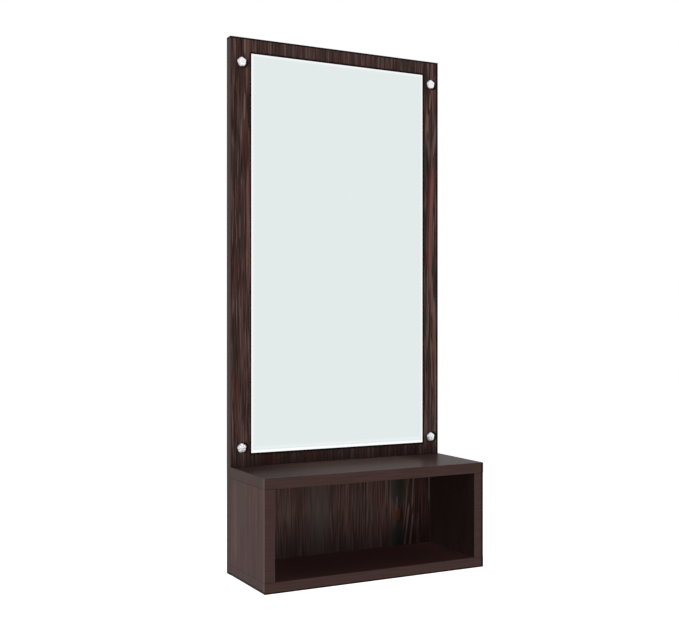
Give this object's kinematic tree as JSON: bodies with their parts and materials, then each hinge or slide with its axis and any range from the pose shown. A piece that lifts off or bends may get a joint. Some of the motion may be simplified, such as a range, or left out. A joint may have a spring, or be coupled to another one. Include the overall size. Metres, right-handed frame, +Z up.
{
  "type": "wall-mounted dressing table",
  "caption": "Tall dark laminated wall panel with a bevelled mirror, crystal blossom studs at its corners and an open box shelf across its foot.",
  "frame": {"origin": "centre of the four wall-screw holes, on the back face of the panel", "axes": "+Z up along the panel, +Y into the wall, so the front faces -Y, and +X to the right as seen from the front"},
  "size_m": [0.416, 0.164, 0.915],
  "materials": {
    "panel_laminate": "matt dark wenge-pattern laminate on board, grain upright",
    "panel_edging": "matt dark edge band",
    "board_laminate": "matt dark brown laminate on board",
    "board_edging": "matt dark brown edge band",
    "beech": "bare turned beech",
    "zinc_steel": "zinc-plated",
    "mirror": "polished silvered glass with ground and polished bevel",
    "backing_film": "grey protective film",
    "foam_tape": "closed-cell foam with adhesive faces",
    "chrome": "polished chrome plate",
    "crystal": "polished moulded crystal glass with a bright foiled back"
  },
  "bodies": {
    "table": {"back_panel": "panel_laminate", "panel_edging_left": "panel_edging", "panel_edging_right": "panel_edging", "panel_edging_top": "panel_edging", "panel_edging_bottom": "panel_edging", "shelf_top_board": "board_laminate", "shelf_bottom_board": "board_laminate", "shelf_left_board": "board_laminate", "shelf_right_board": "board_laminate", "top_board_edging_front": "board_edging", "top_board_edging_left": "board_edging", "top_board_edging_right": "board_edging", "bottom_board_edging_front": "board_edging", "bottom_board_edging_left": "board_edging", "bottom_board_edging_right": "board_edging", "left_board_edging": "board_edging", "right_board_edging": "board_edging", "dowel_top_left_back": "beech", "dowel_top_left_front": "beech", "dowel_top_right_back": "beech", "dowel_top_right_front": "beech", "dowel_bottom_left_back": "beech", "dowel_bottom_left_front": "beech", "dowel_bottom_right_back": "beech", "dowel_bottom_right_front": "beech", "panel_screw_top_board_left": "zinc_steel", "panel_screw_top_board_middle": "zinc_steel", "panel_screw_top_board_right": "zinc_steel", "panel_screw_bottom_board_left": "zinc_steel", "panel_screw_bottom_board_middle": "zinc_steel", "panel_screw_bottom_board_right": "zinc_steel", "panel_screw_left_board": "zinc_steel", "panel_screw_right_board": "zinc_steel", "mirror_glass": "mirror", "mirror_backing": "backing_film", "mirror_tape_left": "foam_tape", "mirror_tape_centre": "foam_tape", "mirror_tape_right": "foam_tape", "stud_base_top_left": "chrome", "stud_base_top_right": "chrome", "stud_base_bottom_left": "chrome", "stud_base_bottom_right": "chrome"},
    "stud_cap_top_left": {"stud_nut_top_left": "chrome", "stud_crystal_top_left": "crystal"},
    "stud_cap_top_right": {"stud_nut_top_right": "chrome", "stud_crystal_top_right": "crystal"},
    "stud_cap_bottom_left": {"stud_nut_bottom_left": "chrome", "stud_crystal_bottom_left": "crystal"},
    "stud_cap_bottom_right": {"stud_nut_bottom_right": "chrome", "stud_crystal_bottom_right": "crystal"}
  },
  "joints": [
    {"name": "top_left_cap_unscrew", "type": "slide", "parent": "table", "child": "stud_cap_top_left", "axis": [0, -1, 0], "range_m": [0, 0.01]},
    {"name": "top_right_cap_unscrew", "type": "slide", "parent": "table", "child": "stud_cap_top_right", "axis": [0, -1, 0], "range_m": [0, 0.01]},
    {"name": "bottom_left_cap_unscrew", "type": "slide", "parent": "table", "child": "stud_cap_bottom_left", "axis": [0, -1, 0], "range_m": [0, 0.01]},
    {"name": "bottom_right_cap_unscrew", "type": "slide", "parent": "table", "child": "stud_cap_bottom_right", "axis": [0, -1, 0], "range_m": [0, 0.01]}
  ]
}
